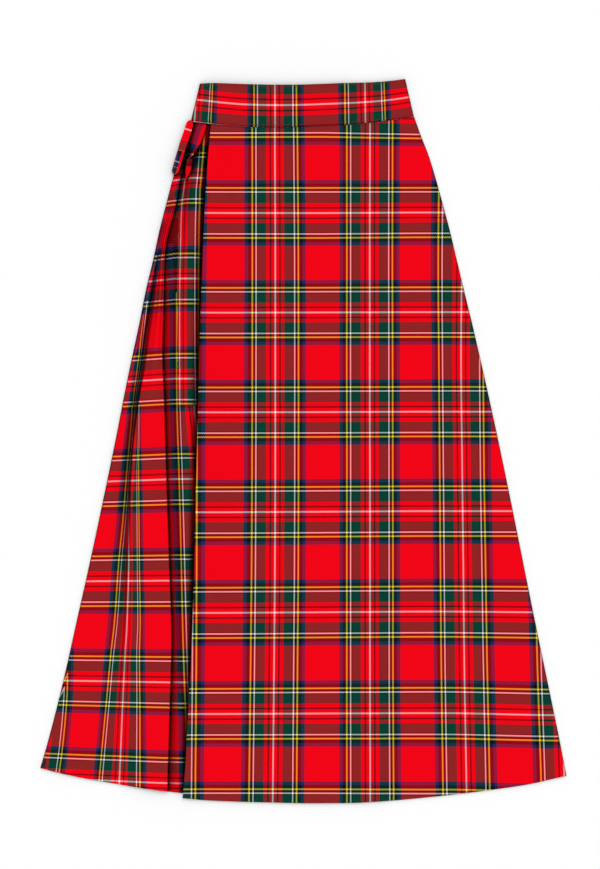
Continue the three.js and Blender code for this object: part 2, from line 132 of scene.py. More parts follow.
# %% The sides, the hems, the waistband and the two free edges
SIDES = table(
    "y left right",
    (463, -161, 163), (443, -168, 170), (414, -178, 181.5), (385, -187.5, 190.5),
    (349, -197, 200.5), (306, -208, 212), (262, -217.5, 222.5), (218, -228, 233),
    (175, -236.5, 243.5), (88, -255, 263.5), (1, -272, 282.5), (-86, -290, 300.5),
    (-173, -308.5, 318), (-260, -328, 335.5), (-347, -347.5, 353.5), (-434, -369.5, 371.5),
    (-485, -384.3, 381.2),
)
UNDER_HEM = table(
    "x y",
    (-381, -473), (-352, -480.5), (-317, -488), (-265, -497), (-213, -505), (-178, -509),
    (-120, -513), (120, -514),
)
OVER_HEM = table(
    "x y",
    (-173.5, -516.5), (-143, -519.5), (-108, -521.2), (-56, -522.7), (13, -524), (65, -523.7),
    (118, -521), (170, -516.5), (222, -511), (274, -504.5), (327, -496.5), (361, -489),
    (381, -484.5),
)
BAND_TOP = table(
    "x y",
    (-149.8, 517), (-133, 518), (-81, 516.5), (-40, 515.7), (-4, 515.8), (25, 516.8),
    (77, 518.6), (97, 519.2), (126, 521.3), (147.7, 524),
)
BAND_LOW = table(
    "x y",
    (-163, 462.4), (-139, 459.8), (-123, 458.3), (-82, 455), (-40, 454.3), (25, 456.4),
    (67, 458.5), (100, 461.5), (128, 465), (160, 470.7),
)
FREE_EDGE = table(
    "y x",
    (462, -133.5), (392, -139.3), (305, -143.9), (172, -149), (-57, -154.8), (-289, -161),
    (-385, -166.2), (-425, -168.4), (-463, -170.2), (-517, -174.8),
)
HIDDEN_EDGE = table("y x", (462, 58), (-517, 112))

left_side = curve(SIDES, "y", "left")
right_side = curve(SIDES, "y", "right")
under_hem = curve(UNDER_HEM, "x", "y")
over_hem = curve(OVER_HEM, "x", "y")
band_top = curve(BAND_TOP, "x", "y")
band_low = curve(BAND_LOW, "x", "y")
free_edge = curve(FREE_EDGE, "y", "x")
hidden_edge = curve(HIDDEN_EDGE, "y", "x")
print("width at the waist", SIDES[0]["right"] - SIDES[0]["left"], "and at the hem",
      SIDES[-1]["right"] - SIDES[-1]["left"], "mm")

# %% Rows across the skirt
WAIST_SEAM = 0.6  # between a panel and its waistband
BACK_HEM_INSET = 3  # the back ends this far inside the fronts
WAIST_ROW, HEM_ROW = 462, -514  # the first and last row, before they take the seam's curve
CURVED_ABOVE, CURVED_BELOW = 330, -250  # where the rows begin to curve
ROW_STEP = 7.5  # mm between rows
CHANGE = 0.1  # half the distance between two rows where the tartan's lines change
ROUNDS = 4


def back_hem(x):
    return max(under_hem(min(x, 0)), over_hem(max(x, 0))) + BACK_HEM_INSET


def row_height(x, y, hem):
    waist_share = ease((y - CURVED_ABOVE) / (WAIST_ROW - CURVED_ABOVE))
    hem_share = ease((y - CURVED_BELOW) / (HEM_ROW - CURVED_BELOW))
    waist = band_low(x) - WAIST_SEAM - WAIST_ROW
    return y + waist_share * waist + hem_share * (hem(x) - HEM_ROW)


def on_row(side, y, hem):
    """Where a side meets a row. Each round takes the height from a closer guess at the place."""
    x = side(y)
    for _ in range(ROUNDS):
        x = side(row_height(x, y, hem))
    return x


row_count = round((WAIST_ROW - HEM_ROW) / ROW_STEP)
ROWS = [lerp(WAIST_ROW, HEM_ROW, i / row_count) for i in range(row_count + 1)]
# The heights where a fold begins to show something. Two rows lie close together at each of them.
CLOSED_ABOVE = 52  # above this the valley is covered by the ridge, and a small pleat is closed
WHITE_SHOWS_BELOW = 203  # the white line left of the valley
YELLOW_SHOWS_BELOW, NAVY_SHOWS_BELOW, BLACK_SHOWS_BELOW = 215, 286, 324  # right of the long fold
for change in (
    CLOSED_ABOVE, WHITE_SHOWS_BELOW, YELLOW_SHOWS_BELOW, NAVY_SHOWS_BELOW, BLACK_SHOWS_BELOW
):
    ROWS += [change + CHANGE, change - CHANGE]
ROWS.sort(reverse=True)
print(len(ROWS), "rows,", round(ROWS[0] - ROWS[1], 2), "mm apart")

# %% [markdown]
# ## The layers and the folds
#
# The back lies on the table, the under panel on the back, and the over panel on the under panel. At
# the left hip the under panel is gathered into folds: one long ridge lies over the cloth on both
# sides of it, with a valley to its left and a deep fold to its right. They could be simulated, but
# laid cloth keeps the folds that the hand gave it, so they are drawn here as sections across.

# %% Heights and folds
WALL = 1.2  # one layer of cloth in the plain model
BAND_WALL = 2.4
GAP = 0.3
BACK_MID = WALL / 2
UNDER_MID = BACK_MID + WALL + GAP
OVER_MID = UNDER_MID + WALL + GAP
BAND_BACK_MID = BAND_WALL / 2
BAND_UNDER_MID = BAND_BACK_MID + BAND_WALL + GAP
BAND_OVER_MID = BAND_UNDER_MID + BAND_WALL + GAP

# A is the fold at the ridge's right edge, which goes down to low; B is at its left edge, and comes up
# from low. The cloth turns by turn degrees, runs back for tuck and turns forward again.
FOLD_A = table(
    "y x turn tuck low",
    (462, -149, 4, 1, 3.3), (440, -156.6, 30, 1.5, 3), (414, -167.2, 55, 1.5, 2.6),
    (385, -176, 150, 2, 2.1), (349, -182.7, 172, 4, 2.1), (327, -187.5, 180, 5, 2.1),
    (306, -193.5, 180, 4.5, 2.1), (285, -198, 180, 4, 2.1), (262, -200.2, 180, 3, 2.1),
    (240, -200.9, 180, 4, 2.1), (190, -201.7, 180, 5, 2.1), (130, -203.2, 180, 6, 2.1),
    (59, -200.7, 180, 6, 2.1), (-50, -197.5, 180, 5, 2.1), (-180, -193.3, 180, 4, 2.1),
    (-285, -190.3, 180, 4, 2.1), (-400, -193, 180, 3.5, 2.1), (-514, -196.3, 180, 3, 2.1),
)
FOLD_B = table(
    "y x turn tuck low",
    (462, -155, 4, 1, 3.3), (440, -163.4, 4, 1, 3.8), (414, -172.9, 4, 0.6, 4.6),
    (385, -181.3, 4, 0.8, 6.5), (349, -191, 4, 1, 6.4), (327, -196, 4, 1, 6.4),
    (306, -201.5, 5, 1, 6.1), (285, -206, 10, 1, 5.4), (262, -210, 40, 1.5, 4),
    (240, -212, 42, 3, 3.2), (218, -213.6, 42, 4.4, 2.8), (190, -216.8, 42, 5.5, 2.6),
    (160, -221.3, 42, 6, 2.5), (130, -225.6, 44, 6, 2.4), (95, -231.4, 50, 5.4, 2.2),
    (59, -238, 60, 4.6, 2.1), (25, -242.5, 68, 4, 2), (-13, -246.8, 70, 4, 2),
    (-50, -249.4, 66, 4.2, 2), (-90, -251, 62, 4.4, 2), (-135, -252.4, 56, 4.6, 2),
    (-180, -254, 46, 5, 2), (-285, -257.5, 28, 6, 2.1), (-400, -262, 14, 7, 2.1),
    (-514, -266, 10, 7, 2.1),
)
# The height of the rim at the side seam, and how far the cloth swells up left of B, between B and A,
# and right of A.
RIDGES = table(
    "y rim outer middle inner",
    (462, 3.3, 0, 0, 0), (440, 3.8, 0, 0.2, 1), (414, 4.6, 0, 0.1, 2.5), (385, 6, 0.1, 0.1, 4),
    (349, 6, 0.6, 0.8, 5.5), (327, 5.9, 0.8, 1.2, 6.5), (306, 5.5, 0.8, 1.6, 7),
    (285, 5, 0.4, 1.6, 7.5), (262, 4.8, 0.3, 2, 8), (240, 4.8, 0.8, 2.2, 8),
    (190, 4.8, 1.6, 2.4, 7.5), (130, 4.8, 2, 2.6, 7), (59, 4.6, 2, 2.6, 6.5),
    (-50, 4, 1.6, 2.4, 5), (-180, 3.4, 1.2, 1.8, 3.2), (-285, 3, 1, 1.2, 2),
    (-514, 3, 0.8, 1, 0.6),
)
# The radius of a fold, at the middle of the cloth: small where the folds are gathered at the hip.
BENDS = table(
    "y bend",
    (462, 0.97), (340, 0.97), (285, 1.05), (240, 1.25), (190, 1.45), (-514, 1.5),
)
FOLD_CLEAR, RIDGE_CLEAR = 1.4, 1  # a run stops this far before fold B, and before the free edge
INNER_SKEW = 1.7  # the ridge beside the over panel is steeper on that panel's side
RISE_LENGTH = 45  # over which the fronts rise to their waistband
SIDE_ROLL, BAND_ROLL = 3.4, 4  # a side seam rolls down to the table within this reach
UPRIGHT = 0.25  # a roll starts upright, for this share of its height
LIFT, LIFT_REACH = 3, 30  # the free edge stands a little off the panel below
STEP_DOWN = 14  # an upper layer comes down by one layer over this width
PAST_EDGE = 1  # and starts to come down this far past the hidden edge
CURVE_STEPS, TUCK_STEPS = 8, 6
# Steps in a run: over a ridge, over flat cloth, down a layer, beside a seam, and across the back.
RIDGE_STEPS, FLAT_STEPS, LAYER_STEPS, SEAM_STEPS, BACK_STEPS = 48, 30, 6, 3, 80


def columns(rows, key):
    names = [name for name in rows[0] if name != key]
    curves = {name: curve(rows, key, name) for name in names}
    return lambda at: {name: value(at) for name, value in curves.items()}


def folds(rows):
    at, bend = columns(rows, "y"), curve(BENDS, "y", "bend")
    return lambda y: dict(at(y), bend=bend(y))


fold_a, fold_b, ridges = folds(FOLD_A), folds(FOLD_B), columns(RIDGES, "y")
print("the long fold's bend is", 2 * fold_a(0)["bend"], "mm across")

# %% [markdown]
# ## A section across the cloth
#
# A section is a path in the plane of x and z. It is drawn from left to right with three moves: a
# roll at a seam, a smooth run, and a fold. It also keeps marks where one stretch ends and the next
# begins, so that the tartan's lines can later be laid on each stretch by themselves.


# %% Draw a section
class Section:
    def __init__(self):
        self.points = []
        self.marks = {}

    def to(self, x, z):
        self.points.append((x, z))

    def mark(self, name):
        self.marks[name] = len(self.points) - 1

    def roll(self, x, height, reach, up):
        """A rounded edge at x, going up from the table or down to it."""
        places = []
        for i in range(CURVE_STEPS + 1):
            angle = i / CURVE_STEPS * math.pi / 2
            away = reach * (1 - math.cos(angle))
            places.append((away, lerp(UPRIGHT * height, height, math.sin(angle))))
        places.insert(0, (0, 0))
        for away, z in places if up else reversed(places):
            self.to(x + away if up else x - away, z)

    def run(self, x, z, crest, steps, skew=1):
        """A smooth way on to x, z that swells up in between; 16 makes the swelling reach the crest."""
        x0, z0 = self.points[-1]
        for i in range(1, steps + 1):
            t = i / steps
            s = t**skew
            self.to(lerp(x0, x, t), lerp(z0, z, ease(t)) + crest * 16 * (s * (1 - s)) ** 2)

    def fold(self, shape, rise):
        """The cloth turns back and forward again, upwards for a rise of 1 and downwards for -1."""
        turn, tuck, bend = math.radians(shape["turn"]), shape["tuck"], shape["bend"]
        bend_x = self.points[-1][0]
        for first in (True, False):
            x, z = self.points[-1]
            for i in range(1, CURVE_STEPS + 1):
                angle = i / CURVE_STEPS * turn
                if first:
                    along, away = math.sin(angle), 1 - math.cos(angle)
                else:
                    along = math.sin(turn) - math.sin(turn - angle)
                    away = math.cos(turn - angle) - math.cos(turn)
                self.to(x + bend * along, z + rise * bend * away)
            if first:
                x, z = self.points[-1]
                for i in range(1, TUCK_STEPS + 1):
                    back = tuck * i / TUCK_STEPS
                    self.to(x + back * math.cos(turn), z + rise * back * math.sin(turn))
        self.to(max(self.points[-1][0], bend_x) + bend, self.points[-1][1])


# Where the cloth has to be when a fold down or a fold up starts, so that its edge lies at x.
def start_down(fold):
    angle, bend = math.radians(fold["turn"]), fold["bend"]
    x = fold["x"] - WALL / 2 - bend * math.sin(min(angle, math.pi / 2))
    return x, fold["low"] + 2 * bend * (1 - math.cos(angle)) + fold["tuck"] * math.sin(angle)


def start_up(fold):
    angle, bend = math.radians(fold["turn"]), fold["bend"]
    out = bend - 2 * bend * math.sin(angle) - fold["tuck"] * math.cos(angle)
    return fold["x"] + WALL / 2 + out, fold["low"]


def front_height(y, flat, band):
    return lerp(flat, band, ease((y - WAIST_ROW + RISE_LENGTH) / RISE_LENGTH))


# %% The sections of the three panels
def under_section(y):
    a, b, ridge = fold_a(y), fold_b(y), ridges(y)
    flat = front_height(y, UNDER_MID, BAND_UNDER_MID)
    (ax, az), (bx, bz) = start_down(a), start_up(b)
    section = Section()
    section.roll(on_row(left_side, y, under_hem) + WALL / 2, ridge["rim"], SIDE_ROLL, True)
    section.mark("side")
    before_fold = min(b["x"], bx) - FOLD_CLEAR * ease(b["turn"] / 90)
    section.run(before_fold, b["low"], ridge["outer"], RIDGE_STEPS)
    section.mark("before_b")
    section.to(bx, bz)
    section.fold(b, 1)
    section.mark("after_b")
    section.run(ax, az, ridge["middle"], RIDGE_STEPS)
    section.mark("before_a")
    section.fold(a, -1)
    section.mark("after_a")
    section.run(free_edge(y) - RIDGE_CLEAR, flat, ridge["inner"], FLAT_STEPS, INNER_SKEW)
    section.run(hidden_edge(y), flat, 0, FLAT_STEPS)
    return section


def over_section(y):
    on_top = front_height(y, OVER_MID, BAND_OVER_MID)
    on_back = front_height(y, UNDER_MID, BAND_UNDER_MID)
    side = on_row(right_side, y, over_hem) - WALL / 2
    step = hidden_edge(y) + PAST_EDGE
    section = Section()
    section.to(free_edge(y), on_top + front_height(y, LIFT, 0))
    section.run(free_edge(y) + LIFT_REACH, on_top, 0, LAYER_STEPS)
    section.run(step, on_top, 0, FLAT_STEPS)
    section.run(step + STEP_DOWN, on_back, 0, LAYER_STEPS)
    section.run(side - SIDE_ROLL - STEP_DOWN, on_back, 0, FLAT_STEPS)
    section.run(side - SIDE_ROLL, on_back, 0, SEAM_STEPS)
    section.points.pop()  # the roll starts with this point
    section.roll(side, on_back, SIDE_ROLL, False)
    return section


def back_section(y):
    inset = WALL / 2 + SIDE_ROLL + GAP
    section = Section()
    section.to(on_row(left_side, y, under_hem) + inset, BACK_MID)
    section.run(on_row(right_side, y, over_hem) - inset, BACK_MID, 0, BACK_STEPS)
    return section


print("points across:", len(under_section(0).points), len(over_section(0).points))

# %% [markdown]
# ## Where the tartan's lines run
#
# A tartan repeats over one sett, here 200 threads wide, mirrored about the white line at its middle
# and about the middle of the wide red field. A point of cloth gets two numbers: how many setts it is
# from a white line across, and how many down. They go into a UV map, which then carries the pattern
# round every fold. A projection from above would be simpler, but it would smear on the folds.

# %% The sett, and a line through marks
SETT = 200  # threads in one repeat
# Threads from the middle of a white line: where the green starts, the next white line, the yellow
# line, where the red field starts, and a thread inside it.
GREEN_AT, WHITE_AT, YELLOW_AT, RED_AT, IN_RED = 19.5, 41, 49, 64.5, 80
THREADS_PER_MM = 1.4626  # across
print("one repeat is", round(SETT / THREADS_PER_MM, 1), "mm across")


def between(marks, x):
    """A straight line between marks (x, value), running on at the cloth's own thread count."""
    if x <= marks[0][0]:
        return marks[0][1] + (x - marks[0][0]) * THREADS_PER_MM
    for (x0, t0), (x1, t1) in zip(marks, marks[1:]):
        if x <= x1:
            return lerp(t0, t1, (x - x0) / max(x1 - x0, 1e-6))
    return marks[-1][1] + (x - marks[-1][0]) * THREADS_PER_MM


# %% The lines of the over panel: the thread of each, and where it lies at some heights
OVER_THREADS = "-151 -135.5 -64.5 -49 0 64.5 135.5 200 264.5 335.5 400 449 551"
OVER_WARP = table(
    "y " + OVER_THREADS,
    (421, -149.4, -137.8, -85.3, -74, -41, 2.4, 52.1, 96.5, 139.9, 185.5, 231.5, 264, 331),
    (261, -152, -139.3, -85.2, -73.9, -40.5, 3.8, 52.3, 96.2, 139.7, 184.2, 229.6, 261.5, 330),
    (115, -153.2, -140.7, -85.9, -74, -40.5, 4.1, 52.1, 96.2, 140.1, 185.8, 228.4, 260.8, 331),
    (-32, -153.8, -141.2, -86.1, -74.3, -40.5, 4.1, 52.3, 96.4, 140.3, 186.8, 230, 261.7, 333),
    (-177, -154.1, -141.4, -87.1, -74.9, -41, 3.8, 52.1, 96.5, 140.6, 187.7, 231.6, 264, 335.5),
    (-323, -154.7, -142.2, -88.1, -76.3, -42.3, 2.8, 52.1, 96.5, 140.7, 188.9, 233.1, 266.3, 338.5),
    (-465, -155.8, -143.3, -90.1, -78.1, -43.7, 1.8, 52.1, 96.8, 141.6, 190.7, 235.6, 269.2, 342.7),
)
# The heights of the white lines across, near the free edge, in the middle and at the right.
OVER_WEFT = table(
    "sett left middle right",
    (0.795, 446.2, 446.7, 444.5), (0, 330.1, 330, 330.9), (-1, 185.9, 186.2, 186.7),
    (-2, 41.7, 42, 42.6), (-3, -102.9, -102.2, -101.3), (-4, -248.5, -247.6, -246.7),
    (-5, -394.8, -394.1, -393.7), (-5.795, -510, -510.1, -510.8),
)
OVER_WEFT_X = {"left": -112, "middle": 29, "right": 163}
over_warp = columns(OVER_WARP, "y")
over_wefts = {name: curve(OVER_WEFT, name, "sett") for name in OVER_WEFT_X}
SINK = 3  # the lines across sink this much towards the lower right corner
SINK_X, SINK_WIDE = 200, 170  # from here to the right, over this width
SINK_Y, SINK_LONG = -100, 350  # and from here down, over this length


def over_weft(x, height):
    marks = [(place, over_wefts[name](height)) for name, place in OVER_WEFT_X.items()]
    return between(marks, min(marks[-1][0], max(marks[0][0], x)))


def over_cloth(section, y, heights):
    marks = [(x, float(thread)) for thread, x in over_warp(y).items()]
    cloth = []
    for (x, z), height in zip(section.points, heights):
        sink = SINK * ease((x - SINK_X) / SINK_WIDE) * ease((SINK_Y - y) / SINK_LONG)
        cloth.append((between(marks, x) / SETT, over_weft(x, height + sink)))
    return cloth


# %% The lines of the under panel
# Threads are counted from the white line in the valley. In the upper part a line is given by the
# threads at each fold, in the lower part by where it lies: the white line left of the valley, the
# valley, the green, the white line right of it and the start of the red field. Above 269 mm the white
# line left of the valley doesn't show, and its column holds 0.
FOLDED = table(
    "y side white left_of_b right_of_b left_of_a",
    (462, 128, 0, 133, 134, 143), (376, 128, 0, 134, 135, 143), (356, 128, 0, 133, 134, 143),
    (335, 92, 0, 97, 98, 112), (314, 57, 0, 66, 68, 80), (291, 57, 0, 66, 68, 80),
    (269, 64, -219, 62, 62, 78), (247, 66, -221, 60, 64, 84), (218, 66, -224, 54, 68, 93),
    (203.05, 64, -225.5, 53, 70, 95), (202.95, 64, -225.6, 30, 70, 95), (188, 61, -227.4, 27, 72, 97),
    (153, 63, -231.6, 24, 73, 100), (121, 67, -235.4, 25, 71, 107), (90, 70, -239.5, 26, 68, 111),
    (59, 74, -243.3, 25, 66, 115), (40, 75, -244.3, 25, 66, 115.3),
)
OPEN = table(
    "y side white valley beyond green white_2 red left_of_a",
    (59, 74, -243.3, -242.4, 14, -241, -237.6, -234.6, 115),
    (30, 76, -245, -244, 14, -241.8, -238, -234.5, 115.5),
    (1, 79, -247.5, -246.2, 12, -241.9, -238.7, -234.2, 116),
    (-41, 88, -251.2, -249.8, 12, -243.7, -240.6, -232.6, 115.5),
    (-115, 101, -257.1, -253, 2, -247.5, -240.3, -231.4, 118),
    (-174.5, 110, -263, -252.7, 1, -246.4, -240, -230.5, 118),
    (-260, 128.5, -269, -255, 1, -247.1, -239.2, -228.7, 120),
    (-312, 140.3, -274.6, -257.9, 1, -249.3, -240.8, -228.7, 120),
    (-382, 162.4, -280.4, -261.1, 1, -250.8, -240.5, -227.6, 116.5),
    (-461.6, 181.8, -287, -264.2, 1, -253, -240.8, -226.7, 111.5),
    (-514, 193, -291.5, -266.4, 1, -254.3, -241, -226.3, 108),
)
# Right of the long fold. The small pleat beside the yellow line hides the threads from 153 to 195, so
# that above its end the next white line, number 200, stands in the place of the one at 159.
INNER = table(
    "y right_of_a yellow white white_thread last last_thread",
    (462, 146, -164.1, -160.7, 200, -147.5, 241), (407, 145, -169.5, -166.2, 200, -151, 241),
    (376, 143, -175, -171.4, 200, -153.6, 241), (364, 142, -176.6, -172.9, 200, -154.8, 241),
    (345, 141, -179.2, -175.5, 200, -155.2, 241), (313, 138, -181, -176.8, 200, -156.1, 241),
    (284, 136, -182.3, -177.3, 200, -156.5, 241), (255, 133, -182.9, -178, 200, -156.8, 241),
    (218, 128, -183, -178.6, 200, -157, 241), (166, 121, -183, -178.8, 200, -157, 241),
    (59, 124, -182.8, -178.6, 200, -155.9, 241), (52.05, 124, -182.7, -178.5, 200, -155.8, 241),
    (51.95, 124, -182.7, -178.4, 159, -171.5, 180), (20, 124, -182, -177.2, 159, -168.9, 180),
    (-41, 123.5, -180, -175.2, 159, -164, 180), (-167, 124, -176.8, -172, 159, -159, 180),
    (-260, 123.5, -174.9, -169.8, 159, -158, 178), (-347, 121, -172.3, -167.6, 159, -157, 176),
    (-416, 118, -169.5, -165.3, 159, -156, 174), (-514, 116, -166.5, -161.8, 159, -153, 172),
)
PLEAT = 153, 195  # the threads at its two sides
PLEAT_FROM_WHITE, PLEAT_WIDE = 2.2, 0.1
FIRST_BLACK, LAST_BLACK = 145, 149
COVERED = 166, 176  # green: between the long fold and the pleat, near the waist
YELLOW_FOLDED, YELLOW_OPEN = 3, 4.2  # from the white line to the yellow one, left of the valley
VALLEY_WIDE = 0.8
UNDER_WEFT = table(
    "y sett",
    (526, 1), (380.8, 0), (235.1, -1), (90.3, -2), (-54.8, -3), (-201.6, -4), (-349, -5),
    (-495.2, -6), (-641, -7),
)
# How much higher a line across lies at the left side than right of the long fold.
TILT = table(
    "y rise",
    (380, -4), (235, -4.4), (110, -4.4), (-20, -4), (-130, -2.4), (-203, -1.2), (-350, 2.2),
    (-460, 5.8), (-514, 7.6),
)
folded, opened, inner = columns(FOLDED, "y"), columns(OPEN, "y"), columns(INNER, "y")
under_weft, tilt = curve(UNDER_WEFT, "y", "sett"), curve(TILT, "y", "rise")
TILT_REACH = 15  # the tilt ends this far right of the long fold
FLANK = 7  # threads that show on the ridge's left flank


def under_cloth(section, y, heights):
    points, marks = section.points, section.marks
    xs = [x for x, z in points]
    side, before_b, after_b, before_a, after_a = (
        marks[name] for name in ("side", "before_b", "after_b", "before_a", "after_a")
    )
    threads = [None] * len(points)
    if y > CLOSED_ABOVE:
        t = folded(y)
        left = [(xs[side], t["side"]), (xs[before_b], t["left_of_b"])]
        if y < WHITE_SHOWS_BELOW:
            left[1:1] = [(t["white"] - YELLOW_FOLDED, YELLOW_AT), (t["white"], WHITE_AT)]
        for i in range(before_b + 1):
            threads[i] = between(left, xs[i])
        middle = [(xs[after_b], t["right_of_b"]), (xs[before_a], t["left_of_a"])]
        for i in range(after_b, before_a + 1):
            threads[i] = between(middle, xs[i])
    else:
        t = opened(y)
        line = [
            (xs[side], t["side"]), (t["white"] - YELLOW_OPEN, YELLOW_AT), (t["white"], WHITE_AT),
            (t["valley"], 0), (t["valley"] + VALLEY_WIDE, t["beyond"]), (t["green"], GREEN_AT),
            (t["white_2"], WHITE_AT), (t["red"], RED_AT), (xs[before_a], t["left_of_a"]),
        ]
        for i in range(before_a + 1):
            threads[i] = between(line, xs[i])
    t = inner(y)
    pleat_x = t["white"] - PLEAT_FROM_WHITE
    before_pleat, pleat = pleat_x - PLEAT_WIDE, (pleat_x, PLEAT[1])
    first, yellow = (xs[after_a], t["right_of_a"]), (t["yellow"], SETT - YELLOW_AT)
    if y > BLACK_SHOWS_BELOW:
        left = [(xs[after_a], COVERED[0]), (before_pleat, COVERED[1]), pleat]
    elif y > NAVY_SHOWS_BELOW:
        left = [(xs[after_a], FIRST_BLACK), (before_pleat, LAST_BLACK), pleat]
    elif y > YELLOW_SHOWS_BELOW:
        left = [first, (before_pleat, LAST_BLACK), pleat]
    elif y > CLOSED_ABOVE:
        left = [first, yellow, (before_pleat, PLEAT[0]), pleat]
    else:
        left = [first, yellow]
    right = left + [(t["white"], t["white_thread"]), (t["last"], t["last_thread"])]
    right = [mark for mark in right if mark[0] >= xs[after_a]]
    for i in range(after_a, len(points)):
        threads[i] = between(right, xs[i])
    for i, thread in enumerate(threads):
        if thread is None:
            start = max(k for k in (before_b, before_a) if k < i)
            stop = min(k for k in (after_b, after_a) if k > i)
            hidden = threads[start]
            if stop == after_b:
                hidden = max(hidden, threads[stop] - FLANK)
            threads[i] = lerp(hidden, threads[stop], (i - start) / (stop - start))
    cloth = []
    for x, thread, height in zip(xs, threads, heights):
        share = min(1, max(0, (x - xs[0]) / (xs[after_a] + TILT_REACH - xs[0])))
        cloth.append((thread / SETT, under_weft(height - tilt(y) * (1 - share))))
    return cloth


# The back is cut from the same cloth. Its lines across match the over panel's.
BACK_SHIFT = 0.5  # setts, so that a red field runs down its middle


def back_cloth(section, y, heights):
    places = [(x, height) for (x, z), height in zip(section.points, heights)]
    return [(x * THREADS_PER_MM / SETT + BACK_SHIFT, over_weft(x, y)) for x, y in places]


# %% [markdown]
# ## From sections to cloth
#
# The sections become rows of points, the rows become a sheet of four-sided faces, and Solidify gives
# the sheet its thickness, half to each side. A real panel is one layer of wool cloth about half a
# millimetre thick, and the air between layers makes up the rest.


# %% Make a sheet of cloth
CLOTH_THICKNESS = 1.0
SMOOTH_BELOW = math.radians(50)
# Near a white line the threads down lie a little closer and the threads across a little looser. The
# lines stray by this many setts.
STRAY = 0.003


def linear(code):
    channels = [int(code[i : i + 2], 16) / 255 for i in (1, 3, 5)]
    return tuple(c / 12.92 if c <= 0.04045 else ((c + 0.055) / 1.055) ** 2.4 for c in channels) + (1,)


def uneven(setts, by):
    return setts + by * math.sin(2 * math.pi * setts)


def settle(piece):
    """Makes a piece the only one that is selected, and the active one."""
    bpy.ops.object.select_all(action="DESELECT")
    piece.select_set(True)
    bpy.context.view_layer.objects.active = piece


def make_sheet(name, rows, cloth, thickness):
    """Takes rows of (x, y, z) in millimetres, and the same rows of (across, down) in setts."""
    width = len(rows[0])
    points = [tuple(c * MM for c in point) for row in rows for point in row]
    faces = []
    for r in range(len(rows) - 1):
        for i in range(width - 1):
            a = r * width + i
            faces.append((a, a + width, a + width + 1, a + 1))
    mesh = bpy.data.meshes.new(name)
    mesh.from_pydata(points, [], faces)
    places = [(uneven(across, STRAY), uneven(down, -STRAY)) for row in cloth for across, down in row]
    layer = mesh.uv_layers.new(name="cloth")
    for loop in mesh.loops:
        layer.data[loop.index].uv = places[loop.vertex_index]
    piece = bpy.data.objects.new(name, mesh)
    bpy.context.scene.collection.objects.link(piece)
    settle(piece)
    bpy.ops.object.modifier_add(type="SOLIDIFY")
    wall = piece.modifiers[-1]
    wall.thickness, wall.offset, wall.use_even_offset = thickness * MM, 0, True
    wall.thickness_clamp = 0
    bpy.ops.object.modifier_apply(modifier=wall.name)
    bpy.ops.object.shade_smooth_by_angle(angle=SMOOTH_BELOW)
    print(name, "has", len(piece.data.polygons), "faces")
    return piece


# Soft creases that stay in laid cloth. Each lies along the skirt, turned by turn degrees, and swells
# up by rise; long and wide are half of its length and width.
CREASES = table(
    "x y long wide turn rise",
    (24, -432, 84, 19, 8, 0.8), (156, -318, 126, 23, -6, 0.7), (262, -430, 66, 20, -14, 0.9),
    (84, 140, 112, 21, 4, 0.5), (-62, -236, 98, 17, 3, 0.6), (196, 96, 74, 18, -9, 0.5),
)
BACK_SHARE = 0.4  # the back is pressed flatter


def swell(x, y):
    height = 0
    for crease in CREASES:
        turn = math.radians(crease["turn"])
        dx, dy = x - crease["x"], y - crease["y"]
        aside = (dx * math.cos(turn) + dy * math.sin(turn)) / crease["wide"]
        along = (dy * math.cos(turn) - dx * math.sin(turn)) / crease["long"]
        if abs(aside) < 1 and abs(along) < 1:
            height += crease["rise"] * (1 - aside**2) ** 2 * (1 - along**2) ** 2
    return height


def panel_rows(section_at, hem, cloth_at, creased=0):
    rows, cloth = [], []
    for y in ROWS:
        section = section_at(y)
        heights = [row_height(x, y, hem) for x, z in section.points]
        places = [(x, height, z) for (x, z), height in zip(section.points, heights)]
        rows.append([(x, height, z + creased * swell(x, height)) for x, height, z in places])
        cloth.append(cloth_at(section, y, heights))
    return rows, cloth


# %% The three panels
under = panel_rows(under_section, under_hem, under_cloth)
over = panel_rows(over_section, over_hem, over_cloth, 1)
back = panel_rows(back_section, back_hem, back_cloth, BACK_SHARE)
under_panel = make_sheet("under_panel_cloth", *under, CLOTH_THICKNESS)
over_panel = make_sheet("over_panel_cloth", *over, CLOTH_THICKNESS)
back_panel = make_sheet("back_panel_cloth", *back, CLOTH_THICKNESS)

# %% [markdown]
# ## The waistband
#
# The waistband is a straight strip folded over a stiffening, so its tartan runs along it and bends
# with it. It is in three stretches, one above the other: on the back, on the under panel and on the
# over panel. The front one is rounded down at its two ends, where it turns to the back.

# %% Rows of a stretch of waistband
BAND_ROWS = 14
BAND_STEPS, BAND_LAYER_STEPS, BAND_END_STEPS = 40, 8, 16
BAND_THICKNESS = 2.2
BAND_WARP = [  # where a line along its width lies, and its thread
    (-154.8, 0), (-135.7, 41), (-132.3, 49), (-124.2, 64.5), (-81.3, 135.5), (-71.3, 151), (-66.4, 159),
    (-40.9, 200), (-14.7, 241), (-9.6, 249), (1.3, 264.5), (50.5, 335.5), (60.1, 351), (65, 359),
    (89.6, 400), (114, 441), (117.8, 449), (126.7, 464.5),
]
# The setts at its two edges, and how far a line along its width leans to the right on the way down.
BAND_LINES = table(
    "x top low lean",
    (-161, -0.147, 0.207, -5), (-135, -0.17, 0.205, -3.3), (-118, -0.18, 0.203, -0.6),
    (-80, -0.188, 0.2025, 0), (100, -0.192, 0.2015, 1), (118, -0.191, 0.199, 2), (160, -0.19, 0.197, 4),
)
band_lines = columns(BAND_LINES, "x")


